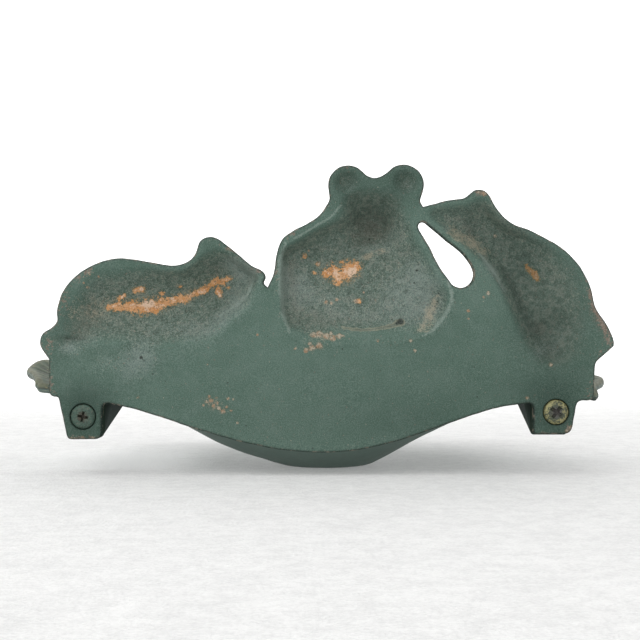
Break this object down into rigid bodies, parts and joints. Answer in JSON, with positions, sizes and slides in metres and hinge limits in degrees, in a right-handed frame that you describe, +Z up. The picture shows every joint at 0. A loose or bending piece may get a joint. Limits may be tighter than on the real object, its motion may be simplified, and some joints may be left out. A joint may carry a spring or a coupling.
{
  "type": "cast-iron lily-pad dish with frog back plate",
  "caption": "Free-standing oval dish with a rippled brim, closed at the back by a flat-backed plate with frogs in relief, held by screws from behind.",
  "frame": {"origin": "middle of the dish's flat foot, on the surface it stands on", "axes": "+Z up, +X along the oval's length (to the left when seen from behind), -Y towards the front, where the frogs look; the plate's flat back faces +Y"},
  "size_m": [0.2121, 0.1147, 0.1061],
  "materials": {
    "painted_iron": "matte",
    "painted_iron_dish": "matte",
    "screw_painted": "satin",
    "screw_worn": "satin"
  },
  "bodies": {
    "root": {"frog_backplate": "painted_iron", "lily_pad_dish": "painted_iron_dish", "screw_left": "screw_painted", "screw_right": "screw_worn"}
  },
  "joints": []
}
